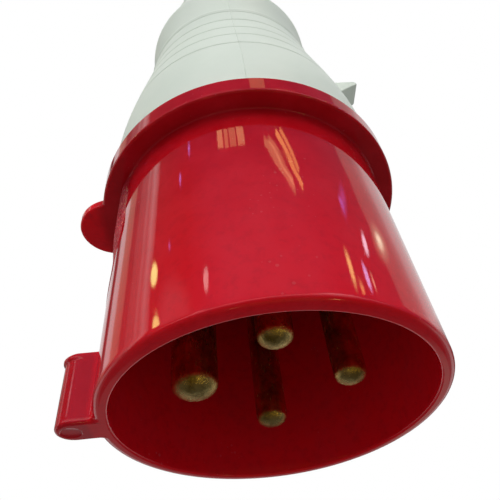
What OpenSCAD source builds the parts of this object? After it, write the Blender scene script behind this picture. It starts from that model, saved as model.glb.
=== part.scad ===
// Pin and sleeve plug, three phases and earth, with a bayonet rear housing and a cable gland.
// The axis of the plug is Z. The mouth lies in the plane z = 0 and the cable leaves at the +Z end.
// The earth contact, the key and the ear are on the -X side, the latch lug is on the +X side.

/* [Shroud] */
// Outside radius of the shroud at its mouth
shroud_r = 25.0; // [24:0.1:27]
// Radius that the shroud loses between its mouth and its root
shroud_draft = 0.5; // [0.1:0.05:0.8]
// Wall of the shroud
shroud_wall = 2.06; // [1.6:0.02:2.4]
// Depth from the mouth to the face of the pin carrier
shroud_depth = 36.5; // [33:0.5:38]
// Rounding of the outer edge of the mouth
rim_round = 0.8; // [0.3:0.1:1]
// Rounding of the inner edge of the mouth
rim_inner_round = 0.4; // [0.2:0.1:0.6]

/* [Flange] */
// Height of the front face of the flange above the mouth
flange_z = 39.6; // [39:0.2:44]
// Thickness of the flange
flange_t = 4.2; // [3:0.2:6]
// Outside radius of the flange
flange_r = 27.75; // [27.3:0.05:29.5]
// Rounding of the edges of the flange
flange_round = 0.5; // [0.2:0.1:1]
// Fillet between the shroud and the flange
root_fillet = 1.2; // [0.4:0.1:2]

/* [Key] */
// Distance from the axis to the outer face of the key
key_reach = 30.5; // [29:0.1:32]
// Width of the key
key_w = 5.2; // [4:0.1:7]
// Length of the key along the axis
key_len = 10.9; // [8:0.1:16]

/* [Ear] */
// Radius of the round ear on the flange
ear_r = 6.4; // [4:0.1:8]
// Distance from the axis to the centre of the ear
ear_x = 26.0; // [24.5:0.1:28]
// Thickness of the ear
ear_t = 1.8; // [1:0.1:3]

/* [Contacts] */
// Radius of the circle on which the contacts stand
pin_circle_r = 11.5; // [11:0.1:12]
// Diameter of a phase pin
phase_pin_d = 5; // [4.5:0.1:5.5]
// Diameter of the earth pin
earth_pin_d = 7; // [6.5:0.1:7.5]
// Depth of the pin tips behind the mouth
pin_recess = 3.5; // [2:0.1:6]
// Height of the domed tip of a pin, as a share of its radius
dome_share = 0.62; // [0.3:0.02:1]
// Width of the shoulder with which a pin fills its hole in the carrier
seat_step = 0.3; // [0.2:0.05:0.5]
// Depth of that shoulder behind the carrier's face
seat_sink = 0.1; // [0.05:0.01:0.15]
// Radius of the terminal barrel of a phase pin
phase_barrel_r = 4.2; // [4:0.05:4.4]
// Radius of the terminal barrel of the earth pin
earth_barrel_r = 4.7; // [4.5:0.05:4.9]
// Length of a terminal barrel
barrel_len = 14; // [12:0.5:16]
// Radius of the hole that takes the conductor
wire_r = 2.0; // [1.5:0.1:2.4]
// Depth of the hole that takes the conductor
wire_depth = 9; // [8:0.5:10]

/* [Carrier] */
// Thickness of the ledge in the shell that the carrier seats on
ledge_t = 2.5; // [1.5:0.1:3]
// Width of that ledge, measured inwards from the bore behind it
ledge_w = 1.4; // [1:0.1:2]
// Thickness of the round base of the carrier behind the ledge
base_t = 10; // [9:0.5:12]
// Radius of the terminal tower of the carrier
tower_r = 15.4; // [14.8:0.1:15.8]
// Thickness of the back plate
plate_t = 2.5; // [2:0.1:4]
// Distance from the bore of the shell to the middle of a carrier screw
screw_inset = 3.6; // [3.3:0.1:3.9]
// Room beside a terminal screw in its window
window_ease = 0.7; // [0.4:0.1:0.8]
// Distance from the foot of a barrel to its window
window_sill = 2; // [1.5:0.1:4]
// Wall between a barrel and the base under it
barrel_floor = 1; // [0.8:0.1:2]
// Room round a conductor in the back plate
wire_ease = 0.6; // [0.4:0.1:1]
// Height of the screw bosses above the face of the carrier
boss_h = 8.5; // [6:0.5:9]
// Radius of a screw boss
boss_r = 3.0; // [2.6:0.1:3.2]

/* [Bayonet] */
// Wall of the spigot
spigot_wall = 2.3; // [2:0.05:2.4]
// Length of the spigot behind the flange
spigot_len = 13; // [12:0.5:15]
// Height of a bayonet lug above the spigot
lug_h = 1.1; // [0.6:0.05:1.3]
// Thickness of a bayonet lug along the axis
lug_t = 2.4; // [1.8:0.1:3]
// Width of a bayonet lug, in degrees
lug_angle = 22; // [14:1:26]
// Turn that frees the rear housing, in degrees
unlock_angle = 30; // [20:1:36]
// Play on each side of a bayonet lug in its channel, in degrees
lug_play = 1; // [0.5:0.1:2]
// Number of bayonet lugs
lug_count = 3; // [2:1:4]
// Distance from the flange to the front of a bayonet lug
lug_offset = 4.2; // [3:0.1:5]

/* [Seal] */
// Radius of the section of the seal ring
seal_section_r = 0.75; // [0.5:0.05:0.8]
// Distance from the rear end of the spigot to the middle of the seal ring
seal_offset = 2.0; // [1.6:0.1:3]

/* [Rear housing] */
// Outside radius of the rear housing behind the flange
housing_front_r = 26.6; // [26.4:0.05:27.2]
// Wall of the rear housing round the spigot that it turns on
housing_front_wall = 2.3; // [2:0.05:2.6]
// Radius towards which the housing tapers
housing_rear_r = 20.75; // [20.2:0.05:21.4]
// Length of the straight part behind the flange
housing_straight = 3.2; // [2:0.1:6]
// Length of the curved taper
housing_taper = 49; // [46:0.5:54]
// Wall of the rear housing
housing_wall = 2.2; // [1.8:0.1:2.6]
// Length by which the bore of the housing runs past the spigot
bore_overrun = 1.5; // [1:0.1:3]
// Length of the cone inside the housing that leads to its waist
waist_lead = 4; // [2:0.5:6]
// Distance from the flange to the rim behind the last groove
rim_offset = 47.4; // [46:0.1:48]
// Length of the slope from the rim down to the waist
rim_step = 0.7; // [0.4:0.1:1.2]
// Radius of the waist behind that rim
waist_r = 19.9; // [19.2:0.05:20.2]
// Radius of the collar at the end of the housing
collar_r = 20.95; // [20.6:0.05:21.5]
// Length of the flare from the waist to the collar
flare_len = 11.3; // [9:0.1:13]
// Length of the straight edge of the collar
collar_edge = 1.6; // [1:0.1:2.4]

/* [Grooves] */
// Number of fine grooves round the housing
groove_count = 5; // [3:1:6]
// Distance from the flange to the first groove
groove_first = 19.0; // [16:0.1:20]
// Distance from one groove to the next
groove_pitch = 6.65; // [4:0.05:6.8]
// Width of a groove
groove_w = 0.7; // [0.4:0.05:1]
// Depth of a groove
groove_depth = 0.3; // [0.1:0.05:0.5]

/* [Latch lug] */
// Distance from the axis to the tip of the latch lug
latch_reach = 31.8; // [29:0.1:34]
// Width of the latch lug
latch_w = 6.0; // [4:0.1:9]
// Distance from the flange to the rear face of the latch lug
latch_offset = 43.1; // [40:0.1:45]
// Rounding of the tip of the latch lug
latch_round = 0.8; // [0.5:0.1:1.2]
// Slope of the front face of the latch lug, in degrees
latch_slope = 34; // [20:1:42]

/* [Gland] */
// Outside radius of the threaded tail that carries the gland nut
tail_r = 15.0; // [14.5:0.1:15.6]
// Length of the threaded tail
tail_len = 12; // [10:0.5:14]
// Radius of the socket for the gland pieces
socket_r = 11.2; // [10.8:0.1:11.6]
// Depth to which the socket reaches into the collar
socket_sink = 1.5; // [1:0.1:3]
// Thickness of the floor under the gland grommet
floor_t = 2.0; // [1.5:0.1:2.6]
// Radius of the hole in that floor
floor_hole_r = 7.2; // [6.6:0.1:8]
// Radius of the hole in the gland grommet
cable_r = 6.0; // [5:0.1:6.4]
// Length of the gland grommet
grommet_len = 9; // [7:0.5:10]
// Length of the ring at the foot of the clamping cage
cage_ring = 2.5; // [1.5:0.1:3.5]
// Length of the fingers of the clamping cage
finger_len = 6.0; // [4:0.1:8]
// Radius that a finger loses towards its tip
finger_taper = 1.4; // [0.8:0.1:2]
// Number of fingers of the clamping cage
finger_count = 8; // [6:1:12]
// Width of the slots between the fingers
finger_gap = 1.2; // [0.8:0.1:2]
// Radius of the passage through the clamping cage
cage_hole_r = 7.2; // [6.6:0.1:7.6]
// Gap between the fingers and the slip ring while the nut is slack
slip_gap = 0.3; // [0.2:0.1:0.6]
// Thickness of the slip ring
slip_t = 1.3; // [0.8:0.1:2]
// Outside radius of the gland nut over its grip ribs
nut_r = 17.8; // [17.4:0.1:19]
// Height of the grip ribs of the nut
rib_h = 0.8; // [0.4:0.1:1.2]
// Number of grip ribs on the nut
rib_count = 18; // [12:1:24]
// Step in the nut from its bore to the cavity round the slip ring
nut_step = 2.3; // [2:0.1:2.6]
// Thickness of the end wall of the nut
nut_end = 2.6; // [2:0.1:4]
// Radius that the end of the nut loses towards its rear face
nut_taper = 1.6; // [0.8:0.1:2.4]
// Gap between the collar and the tightened nut
nut_gap = 0.8; // [0.5:0.1:1.5]
// Radius of the cable opening in the nut
nut_hole_r = 8.0; // [7.6:0.1:9]

/* [Fasteners] */
// Radius of the shank of a terminal screw
terminal_screw_r = 1.95; // [1.5:0.05:2.1]
// Length of a terminal screw
terminal_screw_len = 4.6; // [3.6:0.1:5]
// Height to which a terminal screw stands out of its barrel
terminal_screw_stand = 0.9; // [0.5:0.1:1.4]
// Distance from the rear end of a barrel to its terminal screw
terminal_screw_offset = 5.5; // [4:0.1:6.5]
// Radius of the shank of a carrier or plate screw
screw_r = 1.5; // [1.2:0.05:1.6]
// Radius of the head of a carrier or plate screw
screw_head_r = 2.8; // [2.5:0.05:3]
// Height of the head of a carrier or plate screw
screw_head_h = 2.0; // [1.5:0.1:2.5]
// Length of the shank of a carrier screw
carrier_screw_len = 10; // [8:0.5:11]
// Length of the shank of the plate screw
plate_screw_len = 10; // [8:0.5:12]

// Width of the slots in the screw heads
slot_w = 0.7; // [0.5:0.05:1]
// Depth of the slots in the screw heads
slot_depth = 1.1; // [0.6:0.1:1.3]
// Length of each arm pair of a cross slot
cross_w = 3.4; // [2.4:0.1:4]

/* [Clearances] */
// Radial clearance where one piece turns or slides on another
run_clear = 0.1; // [0.05:0.01:0.1]
// Radial clearance of a pin, shank or seal in its seat
seat_clear = 0.05; // [0.02:0.01:0.08]
// Gap between pieces that face each other across a joint
face_gap = 0.1; // [0.05:0.05:0.3]
// Gap between curved faces that never touch
free_gap = 0.3; // [0.2:0.1:0.6]
// Gap between the tip of a screw and the end of its hole
tip_gap = 0.5; // [0.3:0.1:1]

/* [Hidden] */
$fn = 96;

// Azimuths of the contacts and of the carrier screws
earth_az = 180;
l1_az = 90;
l2_az = 0;
l3_az = 270;
screw_az = 45;

// Overlap that makes one cut or union run past a face
eps = 0.01;
// Length by which a cut runs clear of the form that it opens
overrun = 1;
// Depth to which an added form grows into the body that carries it
bite = 0.5;
// Chamfers of the small edges
chamfer = 0.4;
spigot_chamfer = 0.5;
collar_round = 0.6;

// Heights along the axis
flange_top = flange_z + flange_t;
spigot_top = flange_top + spigot_len;
ledge_top = shroud_depth + ledge_t;
base_top = ledge_top + base_t;
barrel_z = base_top + barrel_floor;
barrel_top = barrel_z + barrel_len;
tower_top = barrel_top + face_gap;
plate_top = tower_top + plate_t;
terminal_z = barrel_top - terminal_screw_offset;
lug_z = flange_top + lug_offset;
seal_z = spigot_top - seal_offset;
housing_z = flange_top + face_gap;
taper_z = flange_top + housing_straight;
rim_z = flange_top + rim_offset;
flare_z = rim_z + rim_step;
collar_z = flare_z + flare_len;
housing_top = collar_z + collar_edge;
floor_z = housing_top - socket_sink - floor_t;
socket_z = floor_z + floor_t;
tail_top = housing_top + tail_len;
cage_z = socket_z + grommet_len;
finger_z = cage_z + cage_ring;
finger_top = finger_z + finger_len;
slip_z = finger_top + slip_gap;
nut_z = housing_top + nut_gap;
nut_end_z = slip_z + slip_t + face_gap;
nut_top = nut_end_z + nut_end;
latch_z = flange_top + latch_offset;

// Radii
spigot_r = housing_front_r - housing_front_wall - run_clear;
shroud_root_r = shroud_r - shroud_draft;
mouth_r = shroud_r - shroud_wall;
shell_bore_r = spigot_r - spigot_wall;
ledge_r = shell_bore_r - ledge_w;
screw_circle_r = shell_bore_r - screw_inset;
shroud_floor_r = shroud_root_r - shroud_wall;
lug_r = spigot_r + lug_h;
housing_bore_r = spigot_r + run_clear;
channel_r = lug_r + run_clear;
seal_r = spigot_r + run_clear - seat_clear - seal_section_r;
seal_seat_r = seal_r - seal_section_r - seat_clear;
nut_bore_r = tail_r + run_clear;
gland_piece_r = socket_r - run_clear;
nut_cavity_r = nut_bore_r - nut_step;
key_round = key_w / 2;

function arc(x, y, r, a0, a1, n = 6) =
    [for (i = [0 : n]) [x + r * cos(a0 + (a1 - a0) * i / n), y + r * sin(a0 + (a1 - a0) * i / n)]];

// Outside radius of the tapered part of the rear housing at height z
function housing_r(z) =
    z <= taper_z ? housing_front_r
    : (housing_front_r + housing_rear_r) / 2
        + (housing_front_r - housing_rear_r) / 2 * cos(180 * (z - taper_z) / housing_taper);

// Radius of the flare at the fraction t of its length
function flare_r(t) = waist_r + (collar_r - waist_r) * (0.45 * t + 0.55 * t * t);

// A straight-sided sector of a ring, used for the bayonet lugs and their channels
module ring_sector(r0, r1, h, a0, a1) {
    rotate([0, 0, a0])
        rotate_extrude(angle = a1 - a0)
            translate([r0, 0])
                square([r1 - r0, h]);
}

module at_contact(az) {
    rotate([0, 0, az])
        translate([pin_circle_r, 0, 0])
            children();
}

module shell_body() {
    rotate_extrude()
        polygon(concat(
            arc(mouth_r + rim_inner_round, rim_inner_round, rim_inner_round, 180, 270, 4),
            arc(shroud_r - rim_round, rim_round, rim_round, 270, 360, 6),
            arc(shroud_root_r + root_fillet, flange_z - root_fillet, root_fillet, 180, 90, 6),
            arc(flange_r - flange_round, flange_z + flange_round, flange_round, 270, 360, 4),
            arc(flange_r - flange_round, flange_top - flange_round, flange_round, 0, 90, 4),
            [[spigot_r, flange_top],
             [spigot_r, spigot_top - spigot_chamfer],
             [spigot_r - spigot_chamfer, spigot_top],
             [shell_bore_r, spigot_top],
             [shell_bore_r, ledge_top],
             [ledge_r, ledge_top],
             [ledge_r, shroud_depth],
             [shroud_floor_r, shroud_depth]]));
}

// The key: a straight rib with a round back, flush with the mouth
module key() {
    difference() {
        union() {
            translate([-key_reach + key_round, 0, 0])
                cylinder(r = key_round, h = key_len);
            translate([-key_reach + key_round, -key_round, 0])
                cube([key_reach - key_round - shroud_root_r + bite, key_w, key_len]);
        }
        translate([0, 0, -eps])
            cylinder(r = shroud_root_r - bite, h = key_len + 2 * eps);
    }
}

module ear() {
    difference() {
        translate([-ear_x, 0, flange_z])
            cylinder(r = ear_r, h = ear_t);
        translate([0, 0, flange_z - eps])
            cylinder(r = shroud_root_r, h = ear_t + 2 * eps);
    }
}

module front_shell() {
    color("crimson")
        difference() {
            union() {
                shell_body();
                key();
                ear();
                for (i = [0 : lug_count - 1])
                    translate([0, 0, lug_z])
                        ring_sector(spigot_r - bite, lug_r, lug_t,
                            screw_az + i * 360 / lug_count - lug_angle / 2,
                            screw_az + i * 360 / lug_count + lug_angle / 2);
                for (side = [0, 180])
                    rotate([0, 0, screw_az + side])
                        translate([screw_circle_r, 0, shroud_depth])
                            cylinder(r = boss_r, h = boss_h);
            }
            for (side = [0, 180])
                rotate([0, 0, screw_az + side])
                    translate([screw_circle_r, 0, base_top - carrier_screw_len - tip_gap])
                        cylinder(r = screw_r + seat_clear, h = carrier_screw_len);
            translate([0, 0, seal_z])
                rotate_extrude()
                    translate([seal_seat_r, -seal_section_r - seat_clear])
                        square([spigot_r - seal_seat_r + overrun, 2 * (seal_section_r + seat_clear)]);
        }
}

module pin_carrier() {
    nose_r = ledge_r - run_clear;
    pocket_r = boss_r + run_clear;
    color("dimgray")
        difference() {
            union() {
                translate([0, 0, shroud_depth])
                    cylinder(r = nose_r, h = ledge_t + eps);
                translate([0, 0, ledge_top])
                    cylinder(r = shell_bore_r - run_clear, h = base_t);
                translate([0, 0, base_top - eps])
                    cylinder(r = tower_r, h = tower_top - base_top + eps);
            }
            for (side = [0, 180])
                rotate([0, 0, screw_az + side])
                    translate([screw_circle_r, 0, shroud_depth - eps]) {
                        cylinder(r = pocket_r, h = boss_h + face_gap + eps);
                        cylinder(r = screw_r + 2 * seat_clear, h = base_top - shroud_depth + overrun);
                        translate([0, 0, base_top - shroud_depth + eps])
                            cylinder(r = screw_head_r + free_gap, h = tower_top - base_top + overrun);
                    }
            for (az = [l1_az, l2_az, l3_az])
                at_contact(az)
                    contact_pocket(phase_pin_d / 2, phase_barrel_r);
            at_contact(earth_az)
                contact_pocket(earth_pin_d / 2, earth_barrel_r);
            translate([0, 0, plate_top - plate_screw_len - tip_gap])
                cylinder(r = screw_r + seat_clear, h = plate_screw_len);
        }
}

// What one contact takes out of the carrier: its shaft hole, barrel pocket and screw window
module contact_pocket(shaft_r, barrel_r) {
    window_w = 2 * (terminal_screw_r + window_ease);
    translate([0, 0, shroud_depth - eps])
        cylinder(r = shaft_r + seat_step + seat_clear, h = barrel_z - shroud_depth + overrun);
    translate([0, 0, barrel_z])
        cylinder(r = barrel_r + run_clear, h = barrel_len + overrun);
    translate([0, -window_w / 2, barrel_z + window_sill])
        cube([pin_circle_r, window_w, barrel_len]);
}

module carrier_back_plate() {
    color("dimgray")
        difference() {
            translate([0, 0, tower_top])
                cylinder(r = tower_r, h = plate_t);
            for (az = [l1_az, l2_az, l3_az, earth_az])
                at_contact(az)
                    translate([0, 0, tower_top - eps])
                        cylinder(r = wire_r + wire_ease, h = plate_t + 2 * eps);
            translate([0, 0, tower_top - eps])
                cylinder(r = screw_r + 2 * seat_clear, h = plate_t + 2 * eps);
        }
}

// One contact: a domed shaft, and a barrel that takes the conductor and its screw
module contact(az, shaft_r, barrel_r) {
    dome_h = shaft_r * dome_share;
    steps = 8;
    color("goldenrod")
        at_contact(az)
            difference() {
                rotate_extrude()
                    polygon(concat(
                        [for (a = [0 : 90 / steps : 90])
                            [shaft_r * sin(a), pin_recess + dome_h * (1 - cos(a))]],
                        [[shaft_r, shroud_depth + seat_sink],
                         [shaft_r + seat_step, shroud_depth + seat_sink],
                         [shaft_r + seat_step, barrel_z],
                         [barrel_r - chamfer, barrel_z],
                         [barrel_r, barrel_z + chamfer],
                         [barrel_r, barrel_top - chamfer],
                         [barrel_r - chamfer, barrel_top],
                         [0, barrel_top]]));
                translate([0, 0, barrel_top - wire_depth])
                    cylinder(r = wire_r, h = wire_depth + overrun);
                translate([0, 0, terminal_z])
                    rotate([0, 90, 0])
                        cylinder(r = terminal_screw_r + seat_clear, h = barrel_r + overrun);
            }
}

module pin_earth() { contact(earth_az, earth_pin_d / 2, earth_barrel_r); }
module pin_l1() { contact(l1_az, phase_pin_d / 2, phase_barrel_r); }
module pin_l2() { contact(l2_az, phase_pin_d / 2, phase_barrel_r); }
module pin_l3() { contact(l3_az, phase_pin_d / 2, phase_barrel_r); }

// One slotted screw that clamps a conductor, standing outwards from its barrel
module terminal_screw(az, barrel_r) {
    color("silver")
        at_contact(az)
            translate([barrel_r + terminal_screw_stand, 0, terminal_z])
                rotate([0, -90, 0])
                    difference() {
                        cylinder(r = terminal_screw_r, h = terminal_screw_len);
                        translate([-slot_w / 2, -terminal_screw_r - overrun, -eps])
                            cube([slot_w, 2 * (terminal_screw_r + overrun), slot_depth]);
                    }
}

module terminal_screw_earth() { terminal_screw(earth_az, earth_barrel_r); }
module terminal_screw_l1() { terminal_screw(l1_az, phase_barrel_r); }
module terminal_screw_l2() { terminal_screw(l2_az, phase_barrel_r); }
module terminal_screw_l3() { terminal_screw(l3_az, phase_barrel_r); }

// A cross-slotted screw whose head sits on the plane z = 0 and whose shank points to -Z
module plain_screw(len) {
    color("silver")
        difference() {
            union() {
                translate([0, 0, -len])
                    cylinder(r = screw_r, h = len + eps);
                cylinder(r = screw_head_r, h = screw_head_h);
            }
            for (turn = [0, 90])
                rotate([0, 0, turn])
                    translate([-cross_w / 2, -slot_w / 2, screw_head_h - slot_depth])
                        cube([cross_w, slot_w, slot_depth + overrun]);
        }
}

module carrier_screw(side) {
    rotate([0, 0, screw_az + side])
        translate([screw_circle_r, 0, base_top])
            plain_screw(carrier_screw_len);
}

module carrier_screw_a() { carrier_screw(0); }
module carrier_screw_b() { carrier_screw(180); }

module back_plate_screw() {
    translate([0, 0, plate_top])
        plain_screw(plate_screw_len);
}

module spigot_seal() {
    color("black")
        translate([0, 0, seal_z])
            rotate_extrude()
                translate([seal_r, 0])
                    circle(r = seal_section_r, $fn = 32);
}

// The outer form of the rear housing: taper, rim, waist, flare and collar
module housing_form() {
    taper_steps = 24;
    flare_steps = 10;
    rotate_extrude()
        polygon(concat(
            [[0, housing_z],
             [housing_front_r - chamfer, housing_z],
             [housing_front_r, housing_z + chamfer]],
            [for (i = [0 : taper_steps])
                let (z = taper_z + (rim_z - taper_z) * i / taper_steps)
                    [housing_r(z), z]],
            [for (t = [0 : 1 / flare_steps : 1])
                [flare_r(t), flare_z + flare_len * t]],
            arc(collar_r - collar_round, housing_top - collar_round, collar_round, 0, 90, 4),
            [[0, housing_top]]));
}

// The inner form of the rear housing, from the bore that takes the spigot to the gland floor
module housing_hollow() {
    inner_z = spigot_top + bore_overrun;
    waist_inner_r = waist_r - housing_wall;
    steps = 16;
    rotate_extrude()
        polygon(concat(
            [[0, housing_z - overrun],
             [housing_bore_r, housing_z - overrun],
             [housing_bore_r, inner_z]],
            [for (i = [0 : steps])
                let (z = inner_z + (rim_z - waist_lead - inner_z) * i / steps)
                    [min(housing_r(z) - housing_wall, housing_bore_r), z]],
            [[waist_inner_r, rim_z],
             [waist_inner_r, floor_z],
             [0, floor_z]]));
}

// Channels for the bayonet lugs, each with an entry slot that opens at the front edge
module bayonet_channels() {
    slot_ease = 0.1;
    slot_top = lug_z + lug_t / 2;
    for (i = [0 : lug_count - 1])
        rotate([0, 0, screw_az + i * 360 / lug_count]) {
            translate([0, 0, lug_z - face_gap])
                ring_sector(housing_bore_r - bite, channel_r, lug_t + 2 * face_gap,
                    -unlock_angle - lug_angle / 2 - lug_play, lug_angle / 2 + lug_play);
            translate([0, 0, housing_z - overrun])
                ring_sector(housing_bore_r - 2 * bite, channel_r + slot_ease,
                    slot_top - housing_z + overrun,
                    -unlock_angle - lug_angle / 2 - lug_play / 2, -unlock_angle + lug_angle / 2 + lug_play);
        }
}

// The tooth behind which a socket's lid catches: flat at the rear, sloped at the front
module latch_lug() {
    root_x = housing_r(latch_z) - housing_wall + bite;
    tip_x = latch_reach - latch_round;
    tip_z = latch_z - latch_round;
    front_x = tip_x + latch_round * sin(latch_slope);
    front_z = tip_z - latch_round * cos(latch_slope);
    translate([0, latch_w / 2, 0])
        rotate([90, 0, 0])
            linear_extrude(latch_w)
                polygon(concat(
                    [[root_x, latch_z]],
                    arc(tip_x, tip_z, latch_round, 90, latch_slope - 90, 8),
                    [[root_x, front_z - (front_x - root_x) * tan(latch_slope)]]));
}

module rear_housing() {
    color("gainsboro")
        difference() {
            union() {
                difference() {
                    housing_form();
                    for (i = [0 : groove_count - 1])
                        groove(flange_top + groove_first + i * groove_pitch);
                }
                latch_lug();
                translate([0, 0, housing_top - eps])
                    cylinder(r = tail_r, h = tail_len + eps);
            }
            housing_hollow();
            bayonet_channels();
            translate([0, 0, floor_z - eps])
                cylinder(r = floor_hole_r, h = floor_t + 2 * eps);
            translate([0, 0, socket_z])
                cylinder(r = socket_r, h = tail_top - socket_z + overrun);
        }
}

// One V-shaped groove round the housing at height z
module groove(z) {
    r = housing_r(z);
    run_out = groove_w / 2 * (1 + overrun / groove_depth);
    rotate_extrude()
        polygon([
            [r + overrun, z - run_out],
            [r - groove_depth, z],
            [r + overrun, z + run_out]]);
}

module gland_grommet() {
    color("black")
        difference() {
            translate([0, 0, socket_z])
                cylinder(r = gland_piece_r, h = grommet_len);
            translate([0, 0, socket_z - eps])
                cylinder(r = cable_r, h = grommet_len + 2 * eps);
        }
}

module clamping_cage() {
    tip_r = gland_piece_r - finger_taper;
    color("gainsboro")
        difference() {
            union() {
                translate([0, 0, cage_z])
                    cylinder(r = gland_piece_r, h = cage_ring + eps);
                translate([0, 0, finger_z])
                    cylinder(r1 = gland_piece_r, r2 = tip_r, h = finger_len);
            }
            translate([0, 0, cage_z - eps])
                cylinder(r = cage_hole_r, h = cage_ring + finger_len + 2 * eps);
            for (i = [0 : finger_count - 1])
                rotate([0, 0, (i + 0.5) * 360 / finger_count])
                    translate([0, -finger_gap / 2, finger_z])
                        cube([gland_piece_r + overrun, finger_gap, finger_len + overrun]);
        }
}

module slip_ring() {
    color("white")
        difference() {
            translate([0, 0, slip_z])
                cylinder(r = nut_cavity_r - free_gap, h = slip_t);
            translate([0, 0, slip_z - eps])
                cylinder(r = nut_hole_r, h = slip_t + 2 * eps);
        }
}

module gland_nut() {
    body_r = nut_r - rib_h;
    color("gainsboro")
        difference() {
            union() {
                translate([0, 0, nut_z])
                    cylinder(r = body_r, h = nut_end_z - nut_z + eps);
                translate([0, 0, nut_end_z])
                    cylinder(r1 = body_r, r2 = body_r - nut_taper, h = nut_end);
                for (i = [0 : rib_count - 1])
                    rotate([0, 0, i * 360 / rib_count])
                        translate([body_r - bite, 0, nut_z + overrun])
                            cylinder(r = rib_h + bite, h = nut_end_z - nut_z - overrun);
            }
            translate([0, 0, nut_z - eps])
                cylinder(r = nut_bore_r, h = tail_top - nut_z + bite);
            translate([0, 0, nut_z - eps])
                cylinder(r = nut_cavity_r, h = nut_end_z - nut_z + eps);
            translate([0, 0, nut_end_z - overrun])
                cylinder(r = nut_hole_r, h = nut_end + 2 * overrun);
        }
}

front_shell();
pin_carrier();
carrier_back_plate();
pin_earth();
pin_l1();
pin_l2();
pin_l3();
terminal_screw_earth();
terminal_screw_l1();
terminal_screw_l2();
terminal_screw_l3();
carrier_screw_a();
carrier_screw_b();
back_plate_screw();
spigot_seal();
rear_housing();
gland_grommet();
clamping_cage();
slip_ring();
gland_nut();
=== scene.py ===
"""Looks of the pin and sleeve plug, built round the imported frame.

Lengths in the shape code are millimetres, as in the part's source; grid() turns them into metres.
Lengths in the materials, the world and the lamps are metres.
Z is the axis of the plug, the mouth lies in z = 0, the key is on the -X side, the latch lug on the +X side.
"""

import math

import bmesh
import bpy
import numpy as np
from mathutils import Matrix, Vector


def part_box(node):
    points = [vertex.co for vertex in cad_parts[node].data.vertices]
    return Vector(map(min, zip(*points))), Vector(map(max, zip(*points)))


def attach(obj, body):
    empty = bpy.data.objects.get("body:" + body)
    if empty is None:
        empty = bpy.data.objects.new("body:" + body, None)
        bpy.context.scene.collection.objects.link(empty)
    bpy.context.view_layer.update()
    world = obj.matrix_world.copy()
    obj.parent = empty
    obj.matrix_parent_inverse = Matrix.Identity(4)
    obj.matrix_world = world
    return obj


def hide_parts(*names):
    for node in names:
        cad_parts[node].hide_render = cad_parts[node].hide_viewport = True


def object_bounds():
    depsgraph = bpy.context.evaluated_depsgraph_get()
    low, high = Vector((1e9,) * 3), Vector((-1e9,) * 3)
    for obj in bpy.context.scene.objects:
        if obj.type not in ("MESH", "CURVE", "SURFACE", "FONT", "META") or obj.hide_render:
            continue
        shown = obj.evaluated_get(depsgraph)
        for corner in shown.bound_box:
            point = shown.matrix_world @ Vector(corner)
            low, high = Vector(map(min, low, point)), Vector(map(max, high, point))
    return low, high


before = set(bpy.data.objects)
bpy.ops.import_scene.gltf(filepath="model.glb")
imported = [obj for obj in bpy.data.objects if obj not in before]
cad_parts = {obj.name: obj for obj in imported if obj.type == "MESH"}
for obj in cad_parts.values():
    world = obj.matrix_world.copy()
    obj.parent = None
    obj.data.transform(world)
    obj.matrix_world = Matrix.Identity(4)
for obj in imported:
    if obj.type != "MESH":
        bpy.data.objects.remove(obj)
cad_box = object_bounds()
MM = 0.001


# ---------------------------------------------------------------- sizes, some of them from the frame
def mm_box(node):
    low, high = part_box(node)
    return np.array(low) / MM, np.array(high) / MM


shell_lo, shell_hi = mm_box("front_shell")
house_lo, house_hi = mm_box("rear_housing")
nut_lo, nut_hi = mm_box("gland_nut")
carrier_lo, _ = mm_box("pin_carrier")

# shroud, its rim and the key; the carrier's face lies at the bottom of the bore
CARRIER_Z = carrier_lo[2]
SHROUD_R, SHROUD_ROOT_R, BORE_R, BORE_ROOT_R = 25.0, 24.5, 22.94, 22.44
WALL_LEN = 38.4  # from the rim's round edge to the fillet at the flange
RIM_ROUND, RIM_WIDE, RIM_INNER = 0.9, 1.1, 0.35
KEY_HALF, KEY_REACH, KEY_ROUND, KEY_ROOT = 2.6, 30.5, 0.5, 0.7
MARK_X, MARK_R, MARK_DEPTH = -28.25, 1.4, 0.18
LEDGE_R, LEDGE_TOP, LEDGE_FILLET = 20.5, 39.0, 0.6
# flange, ear and spigot
FLANGE_R, FLANGE_Z, FLANGE_TOP = shell_hi[1], 39.6, 43.8
ROOT_FILLET, FLANGE_ROUND, FLANGE_BACK_ROUND = 0.3, 0.45, 0.5
EAR_R, EAR_T, EAR_FILLET, EAR_ROUND = 6.4, 1.8, 0.6, 0.3
EAR_X = -shell_lo[0] - EAR_R
SPIGOT_R, SPIGOT_BORE_R, SPIGOT_TOP = 24.2, 21.9, shell_hi[2]
SEAL_R, SEAL_Z, SEAL_TOP = 22.65, 54.0, 55.6
BAYONET_AZ, BAYONET_HALF, BAYONET_R, BAYONET_Z, BAYONET_TOP = 45, 10.3, SPIGOT_R + 1.1, 48.0, 50.4
# mould flash: it starts behind the key, bends away from it and widens into a patch under the flange
FLASH_Z, FLASH_BEND, FLASH_WIDENS, FLASH_AZ, FLASH_TURN = 11.6, 12.5, 20.5, 185.0, 18.0
FLASH_POINTS = 33
# screw bosses and contacts
BOSS_CIRCLE_R, BOSS_R, BOSS_BORE_R, BOSS_TOP = 18.3, 3.0, 1.55, 45.0
PIN_CIRCLE_R, PIN_TIP_Z, PIN_DOME = 11.5, 3.5, 0.62  # the dome's height is a share of the pin's radius
PIN_SHOULDER_Z, PIN_BARREL_Z, PIN_TOP, PIN_CHAMFER, WIRE_R, WIRE_Z = 36.6, 50.0, 64.0, 0.4, 2.0, 55.0
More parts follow.
